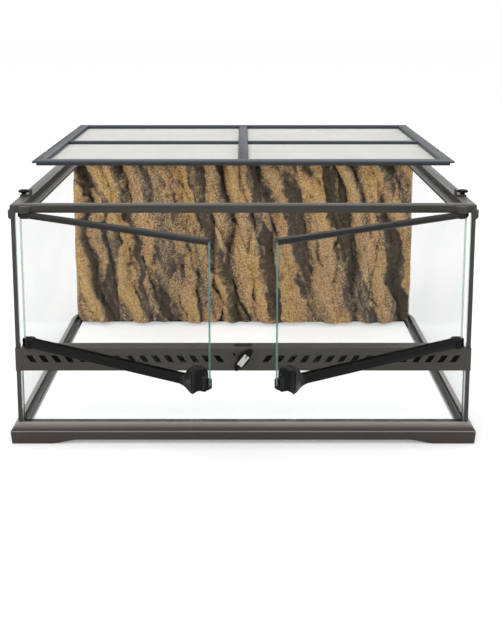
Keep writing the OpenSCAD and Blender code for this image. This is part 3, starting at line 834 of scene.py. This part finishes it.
@dataclass
class GlassTank(Part):
    """The glued panes, their silicone and the frame that they stand in."""

    panes: tuple[str, ...] = ("floor", "left", "right", "rear", "front")
    frame_round: float = 1.2 * MM
    shoulder: Shoulder = Shoulder(17.5 * MM, 27 * MM)
    post_round: float = 0.6 * MM

    def build(self) -> None:
        """Dresses the panes, the seams, the posts and the base frame."""
        for place in self.panes:
            self.glazed(place + "_pane", Finish.SEALED_EDGE)
        self.softened("silicone_seams", Finish.SEALANT, 0.3 * MM, 1)
        base = self.softened("base_frame", Finish.BASE, self.frame_round, 3)
        # The shoulder's turned normals steer the base finish's painted top light: a painted
        # highlight up the slope and a painted light line along the bead
        self.shoulder.shade(base.data)
        for side in Side:
            for level in ("lower", "upper"):
                self.softened(f"{side.value}_{level}_post", Finish.CHARCOAL, self.post_round)


@dataclass
class VentStrip(Part):
    """The slotted strip under the doors, its mesh and the pieces fixed on it."""

    pitch: float = 1.2 * MM
    wire: float = 1.02 * MM

    def build(self, cloth: WireCloth) -> None:
        """Dresses the strip and lays its mesh.

        Args:
            cloth: The tree that lays crossed wires.
        """
        self.softened("vent_strip", Finish.STRIP, 0.5 * MM)
        self.softened("door_stop", Finish.STRIP, 0.4 * MM)
        self.softened("lock_stop_pin", Finish.BLACK, 0.3 * MM)
        self.settle(cloth.lay("vent_mesh", self.pitch, self.wire, Finish.VENT_WIRE, True),
                    "vent_mesh")


@dataclass
class TopFrame(Part):
    """The rim that carries the lid, with its pins and cable inlets."""

    rounding: float = 0.9 * MM

    def build(self) -> None:
        """Dresses the rim, the gates and the hinge pins."""
        self.softened("top_frame", Finish.CHARCOAL, self.rounding, 3)
        for side in Side:
            self.softened(f"{side.value}_inlet_gate", Finish.BLACK, 0.3 * MM)
        for node in ("lower_hinge_pins", "upper_hinge_pins"):
            self.softened(node, Finish.STEEL, 0.3 * MM)


@dataclass
class Door(Part):
    """One hinged door: its pane, two rails and the handle."""

    side: Side = Side.LEFT
    hinge_margin: float = 8 * MM
    rail_round: float = 0.8 * MM
    handle_round: float = 1.1 * MM

    def build(self) -> None:
        """Dresses the door's four pieces."""
        stem = f"{self.side.value}_door_"
        hinge_side = max(abs(corner[0]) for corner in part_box(stem + "pane"))
        self.glazed(stem + "pane", Finish.EDGE, hinge_side - self.hinge_margin)
        self.softened(stem + "top_rail", Finish.RAIL, self.rail_round)
        self.softened(stem + "bottom_rail", Finish.BLACK, self.rail_round)
        self.softened(stem + "handle", Finish.BLACK, self.handle_round, 3)


@dataclass
class TwistLock(Part):
    """The twist knob between the doors, and what holds it in the strip."""

    def build(self) -> None:
        """Dresses the knob, its insert, the spindle and the retainer."""
        self.softened("lock_knob", Finish.BLACK, 0.9 * MM, 3)
        self.softened("lock_insert", Finish.SILVER, 0.25 * MM)
        self.softened("lock_spindle", Finish.STEEL, 0.2 * MM)
        self.softened("lock_retainer", Finish.STEEL, 0.2 * MM)


@dataclass
class ScreenLid(Part):
    """The lift-off lid: its frame and bars, and four panels of wire cloth."""

    pitch: float = 1.5 * MM
    wire: float = 0.28 * MM
    screens: tuple[str, ...] = ("front_left", "front_right", "rear_left", "rear_right")

    def build(self, cloth: WireCloth) -> None:
        """Dresses the frame and weaves each screen.

        Args:
            cloth: The tree that lays crossed wires.
        """
        for node in ("lid_frame", "lid_middle_bar", "lid_cross_bars"):
            self.softened(node, Finish.LID, 0.5 * MM)
        for place in self.screens:
            node = f"lid_screen_{place}"
            self.settle(cloth.lay(node, self.pitch, self.wire, Finish.LID_WIRE), node)


@dataclass
class RimLatch(Part):
    """One sliding latch on the rim: its slide and its round knob."""

    side: Side = Side.LEFT

    def build(self) -> None:
        """Dresses the slide and the knob."""
        self.softened(f"{self.side.value}_latch_slide", Finish.CHARCOAL, 0.3 * MM)
        self.softened(f"{self.side.value}_latch_knob", Finish.BLACK, 0.4 * MM)


@dataclass(frozen=True)
class Streak:
    """A band down the rock: a smooth dark fold, or a golden crest below zero depth.

    Its course is its middle from the panel's top to its foot, and `width` is half its
    width, both as shares of the panel's. `lead`, in half widths, and `rise` shape its
    soft left side, and `fall` its steep right side.
    """

    course: tuple[float, ...]
    width: float
    depth: float
    lead: float = 1.25
    rise: float = 1.8
    fall: float = 5.0

    def mask(self, u: np.ndarray, t: np.ndarray) -> np.ndarray:
        """How deep each place lies in the band.

        Args:
            u: Places across the panel, from 0 to 1.
            t: Places down the panel, from 0 to 1.

        Returns:
            0 outside, and up to the band's depth inside.
        """
        middle = np.interp(t, np.linspace(0, 1, len(self.course)), self.course)
        away = (u - middle) / self.width
        left = np.clip((self.lead + away) * self.rise, 0, 1)
        return self.depth * left * np.clip((1 - away) * self.fall, 0, 1)


@dataclass
class RockPanel(Part):
    """The moulded rock background, as a fine height field over its solid.

    Its heights are in relief units, from about -1 in a groove to 1 on a crest, at
    points x across and z up, in millimetres. The fields from ledges to grit weigh
    the fine forms, and those that begin with coat say how thickly the sand lies;
    `coat_on_left` is painted light, which makes the sides that face left lighter
    and sandier as if lit from the left.
    """

    columns: int = 430
    rows: int = 208
    thickness: float = 27.5 * MM
    relief: float = 12 * MM
    lowest: float = -1.2
    highest: float = 1.15
    slant: float = 0.3
    sway: float = 0.05
    fold_depth: float = 0.12
    ledges: float = 0.42
    cracks: float = 0.16
    blocks: float = 0.42
    lumps: float = 0.14
    grit: float = 0.17
    coat: float = 0.62
    coat_by_height: float = 0.34
    coat_on_left: float = 0.24
    coat_lost_in_fold: float = 0.45
    coat_least: float = 0.17
    wash_from: float = 0.38
    wash_over: float = 0.3
    wash_at_foot: float = 0.5
    at_back: float = 0.2
    nearby: int = 5
    edge_contrast: float = 1.1
    flank_contrast: float = 9.0
    seed: int = 11
    streaks: tuple[Streak, ...] = (
        Streak((0.02, 0.10, 0.115, 0.10, 0.105), 0.02, 0.9),
        Streak((0.115, 0.15, 0.19, 0.2, 0.23), 0.012, 0.55),
        Streak((0.22, 0.25, 0.275, 0.255, 0.25), 0.03, 0.75),
        Streak((0.35, 0.37, 0.415, 0.45, 0.49), 0.028, 1.0),
        Streak((0.53, 0.54, 0.565, 0.575, 0.61), 0.022, 0.8),
        Streak((0.63, 0.655, 0.665, 0.69, 0.75), 0.027, 0.75),
        Streak((0.755, 0.785, 0.815, 0.835, 0.88), 0.027, 1.0),
        Streak((0.92, 0.93, 0.955, 0.965, 1.0), 0.022, 0.85),
        Streak((0.05, 0.125, 0.15, 0.16, 0.175), 0.014, -0.9),
        Streak((0.15, 0.195, 0.225, 0.23, 0.235), 0.018, -0.8),
        Streak((0.305, 0.33, 0.335, 0.34, 0.345), 0.02, -0.7),
        Streak((0.46, 0.475, 0.5, 0.515, 0.55), 0.025, -0.5),
        Streak((0.565, 0.61, 0.62, 0.63, 0.65), 0.016, -0.9),
        Streak((0.71, 0.735, 0.75, 0.74, 0.79), 0.02, -0.8),
        Streak((0.87, 0.875, 0.89, 0.9, 0.93), 0.018, -0.5))
    lattice: np.ndarray = field(init=False, repr=False)
    grid: list[np.ndarray] = field(init=False, repr=False)
    box: list[Vector] = field(init=False, repr=False)

    def __post_init__(self) -> None:
        """Draws the lattice of random heights and lays out the field's points."""
        self.lattice = np.random.default_rng(self.seed).random((256, 256))
        self.box = [Vector(corner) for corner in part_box("rock_panel")]
        low, high = self.box
        self.grid = np.meshgrid(np.linspace(low.x, high.x, self.columns),
                                np.linspace(low.z, high.z, self.rows))

    @property
    def places(self) -> tuple[np.ndarray, np.ndarray]:
        """The x and z of the field's points, in millimetres."""
        return self.grid[0] / MM, self.grid[1] / MM

    @property
    def down(self) -> np.ndarray:
        """How far down the panel each point is, from 0 to 1."""
        z = self.places[1]
        return (z.max() - z) / np.ptp(z)

    def noise(self, u: np.ndarray, v: np.ndarray) -> np.ndarray:
        """Smooth noise.

        Args:
            u: Places along the lattice's first axis.
            v: Places along its second.

        Returns:
            Values from 0 to 1.
        """
        iu, iv = np.floor(u).astype(int), np.floor(v).astype(int)
        fu, fv = u - iu, v - iv
        fu, fv = fu * fu * (3 - 2 * fu), fv * fv * (3 - 2 * fv)
        g = self.lattice
        n = len(g)
        a, b = g[iu % n, iv % n], g[(iu + 1) % n, iv % n]
        c, d = g[iu % n, (iv + 1) % n], g[(iu + 1) % n, (iv + 1) % n]
        return (a * (1 - fu) + b * fu) * (1 - fv) + (c * (1 - fu) + d * fu) * fv

    def strata(self) -> np.ndarray:
        """Slanting strata that wander, as the solid has them.

        Returns:
            The relief from -1 to 1.
        """
        def sin(degrees: np.ndarray) -> np.ndarray:
            """Sine of degrees."""
            return np.sin(np.radians(degrees))

        def ridge(degrees: np.ndarray) -> np.ndarray:
            """1 on a crest and 0 in a groove."""
            return ((1 + np.cos(np.radians(degrees))) / 2) ** 0.6

        x, z = self.places
        wander = (13 * sin(z * 1.15 + x * 0.28) + 5 * sin(z * 3.1 - x * 0.9)
                  + 11 * sin(x * 1.7 + 30))
        lean = x + self.slant * z + wander
        coarse = ridge(lean * 4.3 + 35 * sin(x * 0.9 + z * 0.5))
        fine = ridge(lean * 8.9 - z * 0.75 + 60)
        swell = sin(x * 0.55 + 20) * sin(z * 0.7 + 60)
        return np.clip(1.05 * coarse + 0.6 * fine + 0.3 * swell - 0.95, -1, 1)

    def layered(self, u: np.ndarray, v: np.ndarray, octaves: int) -> np.ndarray:
        """Noise with finer and finer layers added.

        Args:
            u: Places along the lattice's first axis.
            v: Places along its second.
            octaves: Number of layers.

        Returns:
            Values from 0 to 1.
        """
        total, weight = np.zeros_like(u), 0.0
        for octave in range(octaves):
            step = 2.0 ** octave
            total += self.noise(u * step + 31 * octave, v * step + 17 * octave) / step
            weight += 1 / step
        return total / weight

    def detail(self) -> np.ndarray:
        """Ledges with one steep side, cracks and lumps.

        Returns:
            What they add to the strata.
        """
        x, z = self.places
        along = x + self.slant * z + 16 * (self.layered(x / 60, z / 45, 3) - 0.5)
        # Ledges rise slowly and drop at once, each stretched along the strata
        step = along / 34 + 1.5 * self.layered(x / 48 + 9, z / 70 + 5, 3)
        ledge = (step - np.floor(step)) ** 1.6
        strength = np.clip(2.2 * self.noise(x / 42 + 3, z / 60 + 8) - 0.7, 0, 1)
        seam = np.abs(2 * self.layered(along / 42 + 5, z / 110 + 61, 3) - 1)
        crack = -np.clip(1 - seam * 9, 0, 1)
        block = self.layered(x / 26 + 3, z / 34 + 11, 5) - 0.5
        lump = self.noise(x / 6.5, z / 8 + 20) - 0.5
        tiny = self.noise(x / 2.7 + 5, z / 2.7 + 40) - 0.5
        return (self.ledges * strength * (ledge - 0.4) + self.cracks * crack
                + self.blocks * block + self.lumps * lump + self.grit * tiny)

    @staticmethod
    def blurred(lift: np.ndarray, reach: int) -> np.ndarray:
        """Smooths a field.

        Args:
            lift: The field.
            reach: Points on each side that count.

        Returns:
            The field's mean over that square, at each point.
        """
        kernel = np.ones(2 * reach + 1) / (2 * reach + 1)
        around = np.pad(lift, reach, mode="edge")
        for axis in (0, 1):
            around = np.apply_along_axis(np.convolve, axis, around, kernel, mode="valid")
        return around

    def cavity(self, lift: np.ndarray) -> np.ndarray:
        """0 deep in a crack, 0.5 on level ground and 1 on an edge."""
        around = self.blurred(lift, self.nearby)
        return np.clip(0.5 + self.edge_contrast * (lift - around), 0, 1)

    def flank(self, lift: np.ndarray) -> np.ndarray:
        """How far each point faces left, from -1 to 1: the side painted as lit from the left."""
        slope = np.gradient(self.blurred(lift, 2), axis=1)
        return np.clip(self.flank_contrast * slope, -1, 1)

    def folded(self) -> np.ndarray:
        """How deep each point lies in a fold.

        Returns:
            Values from -1, on a golden crest, to 1, in a dark fold.
        """
        x, z = self.places
        warp = self.sway * (self.layered(x / 30 + 2, z / 30 + 4, 4) - 0.5)
        across = (x - x.min()) / np.ptp(x) + warp
        return np.clip(sum(band.mask(across, self.down) for band in self.streaks), -1, 1)

    def paint(self, mesh: bpy.types.Mesh, lift: np.ndarray, fold: np.ndarray) -> None:
        """Gives the skin the attributes that its finish reads.

        Args:
            mesh: The panel's mesh, which starts with the skin's points.
            lift: The skin's relief.
            fold: How deep each point lies in a fold.
        """
        x, z = self.places
        # The sand coat, with painted light from the left: sides that face left are painted
        # lighter and sandier
        sand_and_painted_light = np.maximum(
            self.coat + self.coat_by_height * lift + self.coat_on_left * self.flank(lift)
            - self.coat_lost_in_fold * fold, self.coat_least)
        wash = self.noise(x / 34 + 0.012 * z + 50, z / 95 + 12)
        wash = np.clip((wash - self.wash_from) / self.wash_over
                       + self.wash_at_foot * (self.down - 0.5), 0, 1)
        for title, values in (("lift", sand_and_painted_light), ("wash", wash), ("cavity", self.cavity(lift))):
            layer = mesh.attributes.new(title, "FLOAT", "POINT")
            layer.data.foreach_set("value", np.append(values.ravel(), [self.at_back] * 4))

    def build(self) -> None:
        """Builds the panel's skin, sides and back as one closed mesh."""
        low, high = self.box
        fold = self.folded()
        lift = np.clip(self.strata() + self.detail() - self.fold_depth * fold, self.lowest,
                       self.highest)
        front = high.y - self.thickness - self.relief * lift
        verts = np.stack([self.grid[0].ravel(), front.ravel(), self.grid[1].ravel()], axis=1)
        back = [(low.x, high.y, low.z), (high.x, high.y, low.z), (high.x, high.y, high.z),
                (low.x, high.y, high.z)]
        mesh = bpy.data.meshes.new("rock_panel_look")
        mesh.from_pydata([*verts.tolist(), *back], [], self._skin() + self._shell(len(verts)))
        self.paint(mesh, lift, fold)
        mesh.shade_smooth()
        mesh.materials.append(Finish.ROCK.material)
        self.settle(linked(mesh), "rock_panel")

    def _skin(self) -> list[tuple[int, ...]]:
        """The quads of the front, facing -Y."""
        cols = self.columns
        return [(j * cols + i, j * cols + i + 1, (j + 1) * cols + i + 1, (j + 1) * cols + i)
                for j in range(self.rows - 1) for i in range(cols - 1)]

    def _shell(self, count: int) -> list[tuple[int, ...]]:
        """The four sides and the back, round the skin's border.

        Args:
            count: Number of points in the skin; the back's four corners follow.

        Returns:
            The faces, facing outward.
        """
        cols, rows = self.columns, self.rows
        last = (rows - 1) * cols
        bottom = (*range(cols - 1, -1, -1), count, count + 1)
        top = (*range(last, last + cols), count + 2, count + 3)
        left = (*range(0, last + 1, cols), count + 3, count)
        right = (*range(last + cols - 1, cols - 2, -cols), count + 1, count + 2)
        return [bottom, top, left, right, (count, count + 3, count + 2, count + 1)]


# ---- studio


@dataclass(frozen=True)
class SoftLamp:
    """A square soft lamp, with its places and side in metres and its power in watts."""

    name: str
    place: tuple[float, float, float]
    side: float
    power: float
    target: tuple[float, float, float] = (0.0, 0.0, 0.17)

    def hang(self) -> None:
        """Hangs the lamp and turns it to its target."""
        data = bpy.data.lights.new(self.name, "AREA")
        data.size = self.side
        data.energy = self.power
        lamp = linked(data)
        lamp.location = self.place
        aim = Vector(self.target) - Vector(self.place)
        lamp.rotation_euler = aim.to_track_quat("-Z", "Y").to_euler()


@dataclass
class Studio:
    """The white boards, the soft light and the camera.

    One board is the floor, and one lies under the glass floor, inside the base
    frame's `ledge`. They `glow` on top of their light, in that order. The camera
    stands back from the tank's front, which its vent strip covers by `strip`.
    """

    ledge: float = 6.5 * MM
    under_glass: float = 2 * MM
    glow: tuple[float, float] = (0.2, 0.62)
    floor_reach: float = 14.0
    surround: float = 0.85
    lamps: tuple[SoftLamp, ...] = (
        SoftLamp("key", (-1.3, -1.5, 2.2), 1.2, 21),
        SoftLamp("fill", (1.7, -1.0, 1.5), 1.8, 6),
        SoftLamp("top", (0.2, 0.5, 2.3), 1.4, 9))
    lens: float = 53.13
    strip: float = 1 * MM
    camera_back: float = 1.1792
    camera_height: float = 0.5709
    pitch: float = 8.98
    shift_x: float = 0.0121
    shift_y: float = -0.26

    def build(self) -> None:
        """Sets up the camera, surround, boards and lamps."""
        self._camera()
        self._surround()
        reach = self.floor_reach
        self._board("floor", Vector((-reach, -reach, -0.1)), Vector((reach, reach, 0.0)),
                    self.glow[0])
        # A board under the glass floor keeps it as white as the paper round the tank
        low, high = (Vector(corner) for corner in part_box("floor_pane"))
        margin = Vector((self.ledge, self.ledge, 0.0))
        self._board("board under the glass", Vector((low.x, low.y, 0.0)) + margin,
                    Vector((high.x, high.y, low.z - self.under_glass)) - margin, self.glow[1])
        for lamp in self.lamps:
            lamp.hang()
        scene = bpy.context.scene
        scene.view_settings.view_transform = "Standard"
        scene.cycles.transparent_max_bounces = 40

    def _camera(self) -> None:
        """The camera at the height and distance of a product shot."""
        data = bpy.data.cameras.new("camera")
        data.lens = self.lens
        data.shift_x = self.shift_x
        data.shift_y = self.shift_y
        camera = linked(data)
        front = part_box("vent_strip")[0][1] + self.strip
        camera.location = (0.0, front - self.camera_back, self.camera_height)
        camera.rotation_euler = (math.radians(90 - self.pitch), 0.0, 0.0)
        bpy.context.scene.camera = camera

    def _surround(self) -> None:
        """A white surround that the camera, metal and glass see at full strength."""
        g = ShaderGraph(bpy.data.worlds.new("studio"))
        seen = (g.ray("Camera") + g.ray("Transmission") + g.ray("Glossy")).clamped()
        soft, full = (
            g.node("ShaderNodeBackground", {"Color": (1.0, 1.0, 1.0), "Strength": strength})
            for strength in (self.surround, 1.0))
        bpy.context.scene.world = g.finish(
            g.node("ShaderNodeMixShader", {0: seen, 1: soft, 2: full}))

    def _board(self, name: str, low: Vector, high: Vector, glow: float) -> None:
        """A block of white board that takes shadows and is white elsewhere.

        Args:
            name: The block's name.
            low: Its least corner, in metres.
            high: Its greatest corner.
            glow: Brightness that the camera and reflections see on top of the light.
        """
        g = ShaderGraph(bpy.data.materials.new(name))
        paper = g.node("ShaderNodeBsdfDiffuse", {"Color": (0.93, 0.93, 0.93)})
        white = g.node("ShaderNodeEmission", {"Color": (1.0, 1.0, 1.0), "Strength": glow})
        none = g.node("ShaderNodeEmission", {"Strength": 0.0})
        seen = (g.ray("Camera") + g.ray("Glossy")).clamped()
        veil = g.node("ShaderNodeMixShader", {0: seen, 1: none, 2: white})
        both = g.node("ShaderNodeAddShader", {0: paper, 1: veil})
        bm = bmesh.new()
        bmesh.ops.create_cube(bm, size=1.0)
        bmesh.ops.scale(bm, vec=high - low, verts=bm.verts)
        bmesh.ops.translate(bm, vec=(low + high) / 2, verts=bm.verts)
        board = shown(name, bm, g.finish(both))


def main() -> None:
    """Loads the frame, dresses each sub-assembly and sets up the studio."""
    logging.basicConfig(level=logging.INFO, format="%(name)s: %(message)s")
    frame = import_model()
    cloth = WireCloth("wire cloth")
    GlassTank(frame).build()
    VentStrip(frame).build(cloth)
    TopFrame(frame).build()
    for side in Side:
        Door(frame, side).build()
        RimLatch(frame, side).build()
    TwistLock(frame).build()
    ScreenLid(frame).build(cloth)
    RockPanel(frame).build()
    Studio().build()


if __name__ == "__main__":
    main()
